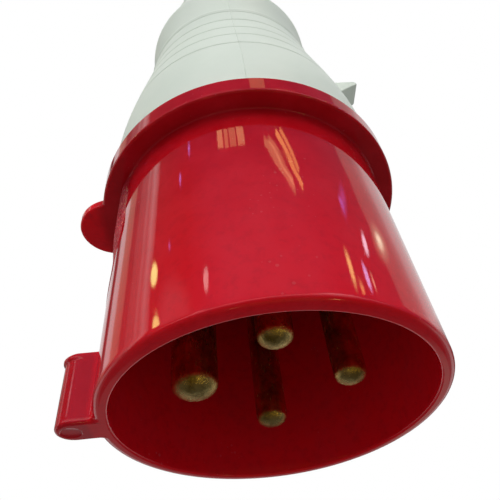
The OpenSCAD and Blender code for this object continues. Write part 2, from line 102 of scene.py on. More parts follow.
# rear housing
HOUSE_Z, HOUSE_TOP = house_lo[2], 104.8
TAPER_Z, TAPER_LEN, FRONT_R, REAR_R = 47.0, 49.0, 26.6, 20.75
GROOVES = [62.8 + 6.65 * i for i in range(5)]
GROOVE_HALF, GROOVE_DEPTH = 0.4, 0.24
BEAD_Z, BEAD_RUN, BEAD_RISE = 90.2, 0.4, 0.12
RIM_Z, WAIST_Z, WAIST_R, COLLAR_R, FLARE_LEN, COLLAR_ROUND = 91.2, 91.9, 19.9, 20.95, 11.3, 0.6
TAIL_TOP, TAIL_R, SOCKET_R, SOCKET_Z = house_hi[2], 15.0, 11.2, 103.3
FLOOR_HOLE_R, FLOOR_Z, REAR_CHAMBER_R, CHAMBER_R = 7.2, 101.3, 17.7, 24.3
CHANNEL_R, CHANNEL_TOP, CHANNEL_Z = 25.4, 50.51, 47.9
THREAD_PITCH, THREAD_DEPTH, THREAD_STEP, THREAD_FROM, THREAD_END = 1.5, 0.55, 0.21, 0.4, 0.5
# latch lug
LUG_REACH, LUG_HALF, LUG_Z, LUG_ROUND, LUG_SLOPE = house_hi[0], 3.0, 86.9, 0.8, math.radians(34)
LUG_TIP_X, LUG_TIP_Z = LUG_REACH - LUG_ROUND, LUG_Z - LUG_ROUND
# gland nut
NUT_RIBS, NUT_RIB_R, NUT_BODY_R = 18, 1.3, nut_hi[1] - 0.8
NUT_SEAT_R, NUT_SEAT_Z, NUT_RING_R, NUT_RING_Z, NUT_MOUTH_R = 15.1, 117.3, 12.8, 122.5, 8.0


# ---------------------------------------------------------------- mesh helpers
WELD_DISTANCE = 1e-7
SHARP_DEG = 38.0


def object_from(name, verts, faces, sharp_deg=SHARP_DEG):
    mesh = bpy.data.meshes.new(name)
    mesh.from_pydata(verts, [], faces)
    mesh.update()
    obj = bpy.data.objects.new(name, mesh)
    bpy.context.scene.collection.objects.link(obj)
    mesh.polygons.foreach_set("use_smooth", [True] * len(mesh.polygons))
    mesh.set_sharp_from_angle(angle=math.radians(sharp_deg))
    return obj


def grid(rings, closed=True):
    """Vertices in metres and outward quads of rings of equal length, each closed, lofted one to the next."""
    rings = np.asarray(rings, float)
    k_count, n = rings.shape[:2]
    verts = rings.reshape(-1, 3) * MM
    faces = []
    for k in range(k_count if closed else k_count - 1):
        a, b = k * n, ((k + 1) % k_count) * n
        for j in range(n):
            i = (j + 1) % n
            faces.append((a + j, a + i, b + i, b + j))
    p = verts[np.array(faces)]
    normals = np.cross(p[:, 1], p[:, 2]) + np.cross(p[:, 2], p[:, 3])
    if np.einsum("ij,ij->i", p[:, 0], normals).sum() < 0:
        faces = [f[::-1] for f in faces]
    return verts.tolist(), faces


def loft(name, rings, closed=True, sharp_deg=SHARP_DEG):
    return object_from(name, *grid(rings, closed), sharp_deg)


def weld(obj):
    """Merges the points of a ring that has shrunk to one place, and drops what has no area."""
    bm = bmesh.new()
    bm.from_mesh(obj.data)
    bmesh.ops.remove_doubles(bm, verts=bm.verts, dist=WELD_DISTANCE)
    bmesh.ops.dissolve_degenerate(bm, dist=WELD_DISTANCE, edges=bm.edges)
    bm.to_mesh(obj.data)
    bm.free()


def arc(cx, cy, r, a0, a1, n):
    """Points on an arc, angles in degrees."""
    angles = [math.radians(a0 + (a1 - a0) * i / n) for i in range(n + 1)]
    return [(cx + r * math.cos(a), cy + r * math.sin(a)) for a in angles]


def quarter(steps, before):
    """(inset, rise) round a quarter circle from (1, 0) to (0, 1), after one point further in, at before."""
    angles = [math.radians(90 * i / steps) for i in range(steps + 1)]
    return [(before, 0)] + [(1 - math.sin(a), 1 - math.cos(a)) for a in angles]


def smooth_step(value, low, high):
    t = np.clip((value - low) / (high - low), 0.0, 1.0)
    return t * t * (3 - 2 * t)


def polar(r, degrees):
    """Points (x, y) at these azimuths; r is one radius, or one for each azimuth."""
    a = np.radians(degrees)
    return np.column_stack([r * np.cos(a), r * np.sin(a)])


def ring(plan, z):
    """A closed ring from a plan of (x, y) points and one height, or one height for each point."""
    plan = np.asarray(plan, float)
    return np.column_stack([plan, np.broadcast_to(z, len(plan))])


def mirror_half(half, sign):
    """Half an outline, from the far side to the tip at v = 0, made whole; u runs along sign * X."""
    half = np.asarray(half, float)
    other = half[-2:0:-1] * (1, -1)
    return np.vstack([half, other]) * (sign, 1)


def lathe(name, profile, columns, centre):
    """A body turned about a line along Z, from (radius, height) points that start and end on the line."""
    angles = np.arange(columns) * 2 * math.pi / columns
    rings = []
    for r, z in profile:
        plan = np.column_stack([centre[0] + r * np.cos(angles), centre[1] + r * np.sin(angles)])
        rings.append(ring(plan, z))
    obj = loft(name, rings, closed=False)
    weld(obj)
    obj.data.set_sharp_from_angle(angle=math.radians(SHARP_DEG))
    return obj


def near_bayonet(plan, low, high):
    """Which points of a plan lie from low to high degrees away from one of the three bayonet lugs."""
    azimuth = np.degrees(np.arctan2(plan[:, 1], plan[:, 0]))
    hit = np.zeros(len(plan), bool)
    for i in range(3):
        away = (azimuth - BAYONET_AZ - 120 * i + 180) % 360 - 180
        hit |= (away > low) & (away < high)
    return hit


# ---------------------------------------------------------------- materials
def rgba(value):
    """A colour or a grey level as four numbers; a node's output as it is."""
    if isinstance(value, bpy.types.NodeSocket):
        return value
    return (*value, 1) if hasattr(value, "__len__") else (value, value, value, 1)


class Graph:
    """The nodes of one material or world. Every input is a number, a colour or another node's output."""

    def __init__(self, block):
        block.use_nodes = True
        self.nodes, self.links = block.node_tree.nodes, block.node_tree.links

    def feed(self, node, inputs):
        for socket, value in inputs.items():
            if isinstance(value, bpy.types.NodeSocket):
                self.links.new(value, node.inputs[socket])
            else:
                node.inputs[socket].default_value = value

    def add(self, kind, inputs=None, **settings):
        node = self.nodes.new("ShaderNode" + kind)
        for name, value in settings.items():
            setattr(node, name, value)
        self.feed(node, inputs or {})
        return node

    def object_coords(self, scale=(1, 1, 1)):
        place = self.add("TexCoord").outputs["Object"]
        return self.add("Mapping", {"Scale": scale, "Vector": place}).outputs["Vector"]

    def noise(self, vector, scale, detail=2.0, roughness=0.5):
        inputs = {"Scale": scale, "Detail": detail, "Roughness": roughness, "Vector": vector}
        return self.add("TexNoise", inputs).outputs["Fac"]

    def ramp(self, fac, stops):
        """A ramp of greys, or colours, from (position, value) stops."""
        node = self.add("ValToRGB", {"Fac": fac})
        elements = node.color_ramp.elements
        while len(elements) < len(stops):
            elements.new(0.5)
        for element, (position, value) in zip(elements, stops):
            element.position = position
            element.color = rgba(value)
        return node.outputs["Color"]

    def between(self, fac, low, high, start=0.35, stop=0.65):
        """Colour or grey between low and high as fac goes from start to stop."""
        return self.ramp(fac, [(start, low), (stop, high)])

    def calc(self, operation, *values, clamp=False):
        node = self.add("Math", dict(enumerate(values)), operation=operation, use_clamp=clamp)
        return node.outputs[0]

    def product(self, first, *others):
        for other in others:
            first = self.calc("MULTIPLY", first, other)
        return first

    def map_range(self, value, low, high, to_low=0.0, to_high=1.0, smooth=False):
        inputs = {"From Min": low, "From Max": high, "To Min": to_low, "To Max": to_high, "Value": value}
        kind = "SMOOTHSTEP" if smooth else "LINEAR"
        return self.add("MapRange", inputs, interpolation_type=kind).outputs["Result"]

    def mix(self, share, a, b):
        inputs = {"Factor": share, "A": rgba(a), "B": rgba(b)}
        return self.add("Mix", inputs, data_type="RGBA").outputs["Result"]

    def length(self, vector):
        return self.add("VectorMath", {0: vector}, operation="LENGTH").outputs["Value"]

    def bump(self, height, distance, strength, before=None):
        inputs = {"Distance": distance, "Strength": strength, "Height": height}
        if before is not None:
            inputs["Normal"] = before
        return self.add("Bump", inputs).outputs["Normal"]

    def mix_shader(self, share, a, b):
        return self.add("MixShader", {"Fac": share, 1: a.outputs[0], 2: b.outputs[0]}).outputs[0]


def new_material(name):
    mat = bpy.data.materials.new(name)
    g = Graph(mat)
    return mat, g, g.nodes["Principled BSDF"]


def red_plastic():
    """Gloss red with orange peel, clouds and dust; painted light makes it lighter at the mouth, in the bore
    and on the ear, painted shade makes it darker towards the flange, on the flange's edge and on the key.
    """
    mat, g, shader = new_material("shell_red_gloss")
    vec = g.object_coords()
    x, y, z = g.add("SeparateXYZ", {0: vec}).outputs
    square = g.calc("MULTIPLY_ADD", y, y, g.calc("MULTIPLY", x, x))
    on_ear = g.map_range(x, -0.0268, -0.0290, smooth=True)
    on_key = g.map_range(x, -0.0252, -0.0262, smooth=True)
    clouds = g.noise(vec, 160, 4, 0.6)
    mottle = g.noise(vec, 700, 3, 0.7)
    specks = g.add("TexVoronoi", {"Scale": 900, "Vector": vec}).outputs["Distance"]
    reach = g.map_range(g.noise(vec, 130, 2), 0.52, 0.72, 0.04, 0.22)
    red = (0.68, 0.0048, 0.0145)
    for share, other in (
        # painted shade: the red darkens from the mouth towards the flange, where the flange shades the wall
        (g.map_range(z, 0.0, 0.042, smooth=True), (0.46, 0.0034, 0.0096)),  # towards the flange
        # painted light: a lighter red inside the bore
        (g.map_range(square, 0.0233**2, 0.0230**2), (0.76, 0.0048, 0.0135)),  # in the bore
        # painted shade: a duller red on the flange's edge
        (g.map_range(z, 0.0397, 0.0405, smooth=True), (0.45, 0.0060, 0.0120)),  # the flange's edge
        # painted light: a lighter red on the ear
        (g.product(on_ear, g.map_range(z, 0.030, 0.038)), (0.76, 0.0060, 0.0160)),
        # painted shade: a darker red on the key
        (g.product(on_key, g.map_range(z, 0.016, 0.012)), (0.47, 0.0060, 0.0150)),
        (g.map_range(clouds, 0.40, 0.75, 0.0, 0.5), (0.67, 0.016, 0.028)),
        (g.map_range(mottle, 0.48, 0.72, 0.0, 0.30), (0.40, 0.003, 0.009)),
        (g.product(g.calc("LESS_THAN", specks, reach), 0.09), (0.75, 0.40, 0.38)),  # dust
    ):
        red = g.mix(share, red, other)
    waves = g.bump(g.noise(vec, 95, 1), 0.00018, 0.3)
    g.feed(shader, {
        "Base Color": red,
        "Subsurface Weight": 0.35,
        "Subsurface Radius": (1.0, 0.05, 0.05),
        "Subsurface Scale": 0.0017,
        "Roughness": g.between(g.noise(vec, 420, 4, 0.65), 0.03, 0.11, 0.5, 0.85),
        "Normal": g.bump(g.noise(vec, 1900, 2), 0.000004, 0.25, waves),
        "IOR": 1.5,
    })
    return mat


def grey_plastic():
    """Pale grey with faint clouds, a satin gloss that wear has made uneven, and a fine grain."""
    mat, g, shader = new_material("housing_grey_satin")
    vec = g.object_coords()
    g.feed(shader, {
        "Base Color": g.between(g.noise(vec, 55, 3), (0.705, 0.785, 0.69), (0.765, 0.84, 0.745)),
        "Roughness": g.between(g.noise(vec, 260, 4, 0.6), 0.36, 0.52, 0.3, 0.75),
        "Normal": g.bump(g.noise(vec, 2600, 3), 0.00002, 0.5),
    })
    return mat


def plain_plastic(name, low, high, rough, grain_scale=1800, grain_depth=0.00002, specular=0.5):
    """Plastic or rubber: clouds from one colour to another, a roughness near rough, and a grain."""
    mat, g, shader = new_material(name)
    vec = g.object_coords()
    g.feed(shader, {
        "Base Color": g.between(g.noise(vec, 90, 3), low, high),
        "Roughness": g.between(g.noise(vec, 400, 3), rough - 0.07, rough + 0.07, 0.3, 0.7),
        "Normal": g.bump(g.noise(vec, grain_scale, 3), grain_depth, 0.5),
        "Specular IOR Level": specular,
    })
    return mat


def metal(name, low, high, rough, pits=0.00001, stretch=(1, 1, 1)):
    """Bare metal: tarnish in patches, fine marks, and dull pits whose depth is pits."""
    mat, g, shader = new_material(name)
    vec = g.object_coords()
    marks = g.noise(g.object_coords(stretch), 1500, 3, 0.6)
    g.feed(shader, {
        "Base Color": g.between(g.noise(vec, 430, 5, 0.7), low, high, 0.36, 0.64),
        "Metallic": 1.0,
        "Roughness": g.between(marks, rough, rough + 0.16, 0.35, 0.75),
        "Normal": g.bump(g.noise(vec, 2300, 4, 0.75), pits, 0.6),
    })
    return mat


RED = red_plastic()
GREY = grey_plastic()
RED_TORN = plain_plastic(
    "shell_red_torn", (0.28, 0.002, 0.008), (0.60, 0.035, 0.055), 0.22, 1000, 0.00045, specular=0.3)
CARRIER = plain_plastic("carrier_dark_grey", (0.035, 0.036, 0.04), (0.05, 0.052, 0.056), 0.5)
BRASS = metal("contact_brass", (0.33, 0.21, 0.040), (0.84, 0.64, 0.24), 0.16, 0.00015, (1, 1, 0.3))
STEEL = metal("screw_steel", (0.55, 0.55, 0.53), (0.66, 0.66, 0.64), 0.25)
RUBBER = plain_plastic("seal_rubber", (0.012, 0.012, 0.013), (0.022, 0.022, 0.023), 0.75, 900)
WHITE = plain_plastic("slip_white", (0.74, 0.74, 0.71), (0.82, 0.82, 0.79), 0.42)


def dress(obj, mat, body, slot, *nodes):
    """Gives a piece its material and body, and hides the CAD nodes that it stands for; slot is not used."""
    obj.data.materials.clear()
    obj.data.materials.append(mat)
    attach(obj, body)
    if nodes:
        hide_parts(*nodes)


# ---------------------------------------------------------------- outlines with a bump
def bump_outline(r, half, reach, fillet, corner, counts):
    """Half an outline from the circle of radius r up a straight-sided bump to its tip at v = 0.

    fillet rounds the foot, corner the two outer corners; counts are the steps of foot, side, corner, end.
    """
    foot, side, turn, end = counts
    v = half + fillet
    u = math.sqrt((r + fillet) ** 2 - v * v)
    start = math.degrees(math.atan2(v, u)) + 180
    pts = arc(u, v, fillet, start, 270, foot)[:-1]
    pts += [(u + (reach - corner - u) * i / side, half) for i in range(side)]
    pts += arc(reach - corner, half - corner, corner, 90, 0, turn)
    tip = pts[-1]
    pts += [(tip[0], tip[1] * (1 - (i + 1) / end)) for i in range(end)]
    return pts


def disc_outline(r, disc_x, disc_r, fillet, steps):
    """Half an outline from the circle of radius r round a disc that stands out of it, to its tip."""
    u = ((r + fillet) ** 2 + disc_x**2 - (disc_r + fillet) ** 2) / (2 * disc_x)
    v = math.sqrt((r + fillet) ** 2 - u * u)
    foot = 5
    start = math.degrees(math.atan2(v, u)) + 180
    stop = math.degrees(math.atan2(v, u - disc_x)) + 180
    pts = arc(u, v, fillet, start, stop if stop > start else stop + 360, foot)[:-1]
    pts += arc(disc_x, 0, disc_r, stop - 180, 0, steps - foot)
    return pts


# ---------------------------------------------------------------- front shell
# steps along half an outline: round wall, ear, key; the feet are azimuths from the key's middle
KEY_COUNTS = (6, 4, 10, 1)
KEY_STEPS = sum(KEY_COUNTS)
EAR_STEPS = 14
REST_STEPS = 112
KEY_FOOT, EAR_FOOT = 7.6, 13.9


def shell_circle(r):
    phi = np.concatenate([
        np.linspace(180, EAR_FOOT, REST_STEPS + 1),
        np.linspace(EAR_FOOT, KEY_FOOT, EAR_STEPS + 1)[1:],
        np.linspace(KEY_FOOT, 0, KEY_STEPS + 1)[1:],
    ])
    return mirror_half(polar(r, phi), -1)


def shell_key(r, grow, key_grow, foot=KEY_ROOT):
    """The outline at the key; grow moves the round wall outwards, key_grow the key's own faces."""
    half = KEY_HALF + key_grow
    bump = bump_outline(r + grow, half, KEY_REACH + key_grow, foot, half, KEY_COUNTS)
    first = math.degrees(math.atan2(bump[0][1], bump[0][0]))
    phi = np.concatenate([
        np.linspace(180, EAR_FOOT, REST_STEPS + 1),
        np.linspace(EAR_FOOT, first, EAR_STEPS + 1)[1:-1],
    ])
    return mirror_half(np.vstack([polar(r + grow, phi), bump]), -1)


def shell_ear(r, ear_grow):
    outline = disc_outline(r, EAR_X, EAR_R + ear_grow, EAR_FILLET, EAR_STEPS + KEY_STEPS)
    first = math.degrees(math.atan2(outline[0][1], outline[0][0]))
    phi = np.linspace(180, first, REST_STEPS + 1)[:-1]
    return mirror_half(np.vstack([polar(r, phi), outline]), -1)


def key_weight():
    """1 on the key, 0 on the round wall, smooth over the fillet between them, for a whole outline."""
    first = REST_STEPS + EAR_STEPS
    w = smooth_step(np.arange(first + KEY_STEPS + 1), first, first + KEY_COUNTS[0])
    return np.concatenate([w, w[-2:0:-1]])


def wall_r(z):
    return SHROUD_R - (SHROUD_R - SHROUD_ROOT_R) * max(0.0, z - RIM_ROUND) / WALL_LEN


def bore_r(z):
    return BORE_R - (BORE_R - BORE_ROOT_R) * z / CARRIER_Z


def build_shell():
    rings = []

    def circles(*points):
        rings.extend(ring(shell_circle(r), z) for r, z in points)

    # the bore, from the ledge round the carrier to the inner edge of the mouth
    circles((LEDGE_R, CARRIER_Z))
    circles(*arc(BORE_ROOT_R - LEDGE_FILLET, CARRIER_Z - LEDGE_FILLET, LEDGE_FILLET, 90, 0, 4))
    circles(*((bore_r(z), z) for z in (34, 28, 22, 16, 10, 5, 2, 0.8, 0.5)))
    circles(*arc(BORE_R + RIM_INNER, RIM_INNER, RIM_INNER, 180, 270, 6))
    circles((BORE_R + RIM_INNER + 0.1, 0))

    # the end face runs into the end of the key; its outer edge is round, tighter on the key
    edge = RIM_ROUND + (KEY_ROUND - RIM_ROUND) * key_weight()
    for inset, rise in quarter(7, 1.1):
        key_inset = KEY_ROUND * inset
        outline = shell_key(SHROUD_R, -RIM_WIDE * inset, -key_inset, KEY_ROOT + key_inset)
        rings.append(ring(outline, edge * rise))

    # the wall with the key, the lip at the key's rear end, and its rear face
    for z in (1.3, 2.5, 5, 7.5, 9.4, 9.8):
        rings.append(ring(shell_key(wall_r(z), 0, 0), z))
    lip_from, lip_run = 26.6, 3.4  # the lip sets in on the way out to the key's tip
    for lip, z in (
        (0.05, 10.0), (0.16, 10.15), (0.3, 10.35), (0.34, 10.6), (0.25, 10.8), (0.05, 10.95), (-0.25, 11.05),
    ):
        plain, grown = shell_key(wall_r(z), 0, min(lip, 0.02)), shell_key(wall_r(z), 0, lip)
        share = np.clip((-plain[:, 0] - lip_from) / lip_run, 0, 1)[:, None] ** 1.5
        rings.append(ring(plain + (grown - plain) * share, z))
    circles(*((wall_r(z), z) for z in (11.12, 11.3, 13, 16, 20, 24, 28, 32, 35, 37, 38.4, 39.0)))

    # root fillet, front face, ear and edge of the flange
    circles(*arc(SHROUD_ROOT_R + ROOT_FILLET, FLANGE_Z - ROOT_FILLET, ROOT_FILLET, 180, 90, 5))
    circles((SHROUD_ROOT_R + 0.5, FLANGE_Z))
    for inset, rise in quarter(5, 1.2):
        outline = shell_ear(FLANGE_R - FLANGE_ROUND * inset, -0.35 * inset)
        rings.append(ring(outline, FLANGE_Z + FLANGE_ROUND * rise))
    ear_back = FLANGE_Z + EAR_T
    rings.append(ring(shell_ear(FLANGE_R, 0), FLANGE_Z + 0.55))
    rings.append(ring(shell_ear(FLANGE_R, 0), ear_back - 0.4))
    for inset, z in arc(EAR_ROUND, ear_back - EAR_ROUND, EAR_ROUND, 180, 90, 4):
        rings.append(ring(shell_ear(FLANGE_R, -inset), z))
    rings.append(ring(shell_ear(FLANGE_R, -0.5), ear_back + 0.01))
    circles(*((FLANGE_R, z) for z in (ear_back + 0.03, ear_back + 0.2, FLANGE_TOP - 0.6)))
    circles(*arc(FLANGE_R - FLANGE_BACK_ROUND, FLANGE_TOP - FLANGE_BACK_ROUND, FLANGE_BACK_ROUND, 0, 90, 5))
    circles((FLANGE_R - 0.6, FLANGE_TOP))

    # the spigot with its bayonet lugs and the groove of the seal
    circles((SPIGOT_R, FLANGE_TOP), (SPIGOT_R, BAYONET_Z - 0.02))
    plain = shell_circle(1.0)
    on_lug = near_bayonet(plain, -BAYONET_HALF, BAYONET_HALF)
    lugged = plain * np.where(on_lug, BAYONET_R, SPIGOT_R)[:, None]
    rings += [ring(lugged, BAYONET_Z), ring(lugged, BAYONET_TOP)]
    circles(
        (SPIGOT_R, BAYONET_TOP + 0.02), (SPIGOT_R, SEAL_Z), (SEAL_R, SEAL_Z), (SEAL_R, SEAL_TOP),
        (SPIGOT_R, SEAL_TOP), (SPIGOT_R, SPIGOT_TOP - 0.5), (SPIGOT_R - 0.5, SPIGOT_TOP),
        (SPIGOT_BORE_R, SPIGOT_TOP), (SPIGOT_BORE_R, LEDGE_TOP), (LEDGE_R, LEDGE_TOP))
    return loft("shroud_and_flange", rings)


def cut_mark(shell):
    """The ejector mark: a shallow round hollow in the end of the key."""
    above = 0.5
    profile = [
        (0, -above), (MARK_R + 0.15, -above), (MARK_R + 0.15, 0.0), (MARK_R, MARK_DEPTH - 0.02),
        (MARK_R - 0.1, MARK_DEPTH), (0, MARK_DEPTH)]
    mark = lathe("mark_cutter", profile, 40, (MARK_X, 0))
    cut = shell.modifiers.new("ejector_mark", "BOOLEAN")
    cut.object = mark
    cut.operation = "DIFFERENCE"
    cut.solver = "EXACT"
    bpy.context.view_layer.update()
    evaluated = shell.evaluated_get(bpy.context.evaluated_depsgraph_get())
    cut_mesh = bpy.data.meshes.new_from_object(evaluated)
    shell.modifiers.clear()
    shell.data = cut_mesh
    bpy.data.objects.remove(mark)


shell = build_shell()
dress(shell, RED, "front", "shell_red", "front_shell")
cut_mark(shell)


def build_seam():
    """The rough flash where the mould's halves met.

    Under the flange it is a raised patch; towards the mouth it narrows to a fine line that bends to the key.
    """
    wear = np.random.default_rng(3)
    across = np.linspace(-1, 1, FLASH_POINTS)
    there_and_back = np.concatenate([across, across[::-1]])
    under = np.full(FLASH_POINTS, -0.3)
    rings = []
    for z in np.concatenate([
        np.linspace(FLASH_Z, FLASH_WIDENS, 30), np.linspace(FLASH_WIDENS + 0.2, FLANGE_Z + 0.2, 118),
    ]):
        turned = smooth_step(z, FLASH_BEND, FLASH_BEND + 10.0)
        wide = smooth_step(z, FLASH_WIDENS, FLASH_WIDENS + 9.5)
        sway = 0.8 * math.sin(z * 0.42) * (1 - wide)
        middle = FLASH_AZ + FLASH_TURN * turned + sway + 0.25 * wear.random()
        half = 0.55 + 7.2 * wide + 0.5 * wide * math.sin(z * 1.3) + 0.3 * wide * wear.random()
        lift = 0.10 + 0.26 * wide
        rough = 1 + wide * (0.9 * wear.random(FLASH_POINTS) - 0.45)
        top = lift * (1 - np.abs(across) ** 4) * rough - 0.03
        radius = wall_r(z) + np.concatenate([top, under])
        rings.append(ring(polar(radius, middle + half * there_and_back), z))
    first, last = (np.tile(rings[end].mean(axis=0), (2 * FLASH_POINTS, 1)) for end in (0, -1))
    seam = loft("mould_flash", [first, *rings, last], closed=False, sharp_deg=60)
    weld(seam)
    return seam


dress(build_seam(), RED_TORN, "front", "shell_red")

# the two bosses of the carrier screws, seen in the floor of the bore
boss_profile = [
    (0, CARRIER_Z - 0.12), (BOSS_R - 0.2, CARRIER_Z - 0.12), (BOSS_R, CARRIER_Z + 0.1), (BOSS_R, BOSS_TOP),
    (BOSS_BORE_R, BOSS_TOP), (BOSS_BORE_R, LEDGE_TOP), (0, LEDGE_TOP)]
for tag, side in (("a", 1), ("b", -1)):
    place = BOSS_CIRCLE_R * math.cos(math.radians(45)) * side
    boss = lathe("screw_boss_" + tag, boss_profile, 48, (place, place))
    dress(boss, RED, "front", "shell_red")


# ---------------------------------------------------------------- contacts
def build_pin(node, az, shaft_r, barrel_r):
    dome = shaft_r * PIN_DOME
    angles = [math.radians(90 * i / 14) for i in range(15)]
    profile = [(shaft_r * math.sin(a), PIN_TIP_Z + dome * (1 - math.cos(a))) for a in angles]
    profile += [(shaft_r, z) for z in (PIN_TIP_Z + dome + 0.15, 9, 16, 23, 30, 36.5, PIN_SHOULDER_Z)]
    profile += [
        (shaft_r + 0.3, PIN_SHOULDER_Z), (shaft_r + 0.3, PIN_BARREL_Z),
        (barrel_r - PIN_CHAMFER, PIN_BARREL_Z), (barrel_r, PIN_BARREL_Z + PIN_CHAMFER),
        (barrel_r, PIN_TOP - PIN_CHAMFER), (barrel_r - PIN_CHAMFER, PIN_TOP),
        (WIRE_R, PIN_TOP), (WIRE_R, WIRE_Z), (0, WIRE_Z)]
    centre = (PIN_CIRCLE_R * math.cos(math.radians(az)), PIN_CIRCLE_R * math.sin(math.radians(az)))
    pin = lathe(node.replace("pin", "contact"), profile, 72, centre)
    dress(pin, BRASS, "front", "contact_brass", node)


build_pin("pin_earth", 180, 3.5, 4.7)
build_pin("pin_l1", 90, 2.5, 4.2)
build_pin("pin_l2", 0, 2.5, 4.2)
build_pin("pin_l3", 270, 2.5, 4.2)


# ---------------------------------------------------------------- rear housing
LUG_COUNTS = (5, 4, 4, 3)
LUG_STEPS = sum(LUG_COUNTS)
LUG_FOOT = 8.9
# finer columns on the mould's parting line, which runs down both sides at +Y and -Y
LINE_AZ, LINE_WIDE = 90, 0.16
line_fan = np.array([1.6, 0.9, 0.5, 0.3, 0.18, 0.09, 0.0])
HOUSE_PHI = np.concatenate([
    np.linspace(180, 91.6, 60)[:-1], LINE_AZ + line_fan, LINE_AZ - line_fan[-2::-1],
    np.linspace(88.4, LUG_FOOT, 55)[1:],
])


def housing_r(z):
    if z <= TAPER_Z:
        return FRONT_R
    return (FRONT_R + REAR_R) / 2 + (FRONT_R - REAR_R) / 2 * math.cos(math.pi * (z - TAPER_Z) / TAPER_LEN)


def outer_r(z):
    """The taper with its grooves and the small bead at its end."""
    r = housing_r(z)
    for g in GROOVES:
        d = abs(z - g)
        if d < GROOVE_HALF:
            r -= GROOVE_DEPTH * (1 - d / GROOVE_HALF) ** 0.8
    if z > BEAD_Z:
        r += BEAD_RISE * math.sin(math.pi / 2 * min(1, (z - BEAD_Z) / BEAD_RUN))
    return r


def lug_x(z):
    """How far out the latch lug reaches: a slope, then its round tip."""
    front_x = LUG_TIP_X + LUG_ROUND * math.sin(LUG_SLOPE)
    front_z = LUG_TIP_Z - LUG_ROUND * math.cos(LUG_SLOPE)
    if z < front_z:
        return front_x - (front_z - z) / math.tan(LUG_SLOPE)
    return LUG_TIP_X + math.sqrt(max(0, LUG_ROUND**2 - (z - LUG_TIP_Z) ** 2))


def house_plan(r, reach=None, line=0.0):
    """The outline of the housing at radius r, with the lug where reach is given.

    line is the height of the mould's parting line.
    """
    raised = r + line * np.exp(-(((HOUSE_PHI - LINE_AZ) / LINE_WIDE) ** 2))
    side = 0 if reach is None else reach - math.sqrt(r * r - LUG_HALF**2)
    if side > 0.15:
        foot, corner = min(0.45, 0.4 * side), min(0.35, 0.4 * side)
        bump = bump_outline(r, LUG_HALF, reach, foot, corner, LUG_COUNTS)[1:]
    else:
        bump = polar(r, np.linspace(LUG_FOOT, 0, LUG_STEPS + 1)[1:])
    return mirror_half(np.vstack([polar(raised, HOUSE_PHI), bump]), 1)


def taper_heights(lug_start):
    """The heights of the rings on the taper: closer at the grooves, the lug and the bead."""
    heights = set(np.round(np.arange(TAPER_Z, 90, 1.4), 3))
    for g in GROOVES:
        heights |= {round(g + d, 3) for d in (-0.62, -0.42, -0.3, -0.16, 0, 0.16, 0.3, 0.42, 0.62)}
    heights |= {round(lug_start + d, 3) for d in (0.0, 0.12, 0.3)}
    heights |= {round(LUG_TIP_Z + LUG_ROUND * math.sin(math.radians(a)), 3) for a in np.linspace(-56, 88, 9)}
    heights |= {LUG_Z, BEAD_Z, 90.35, 90.6, 90.8}
    apart = []
    for h in sorted(heights):
        if not apart or h - apart[-1] > 0.035:
            apart.append(h)
    return apart


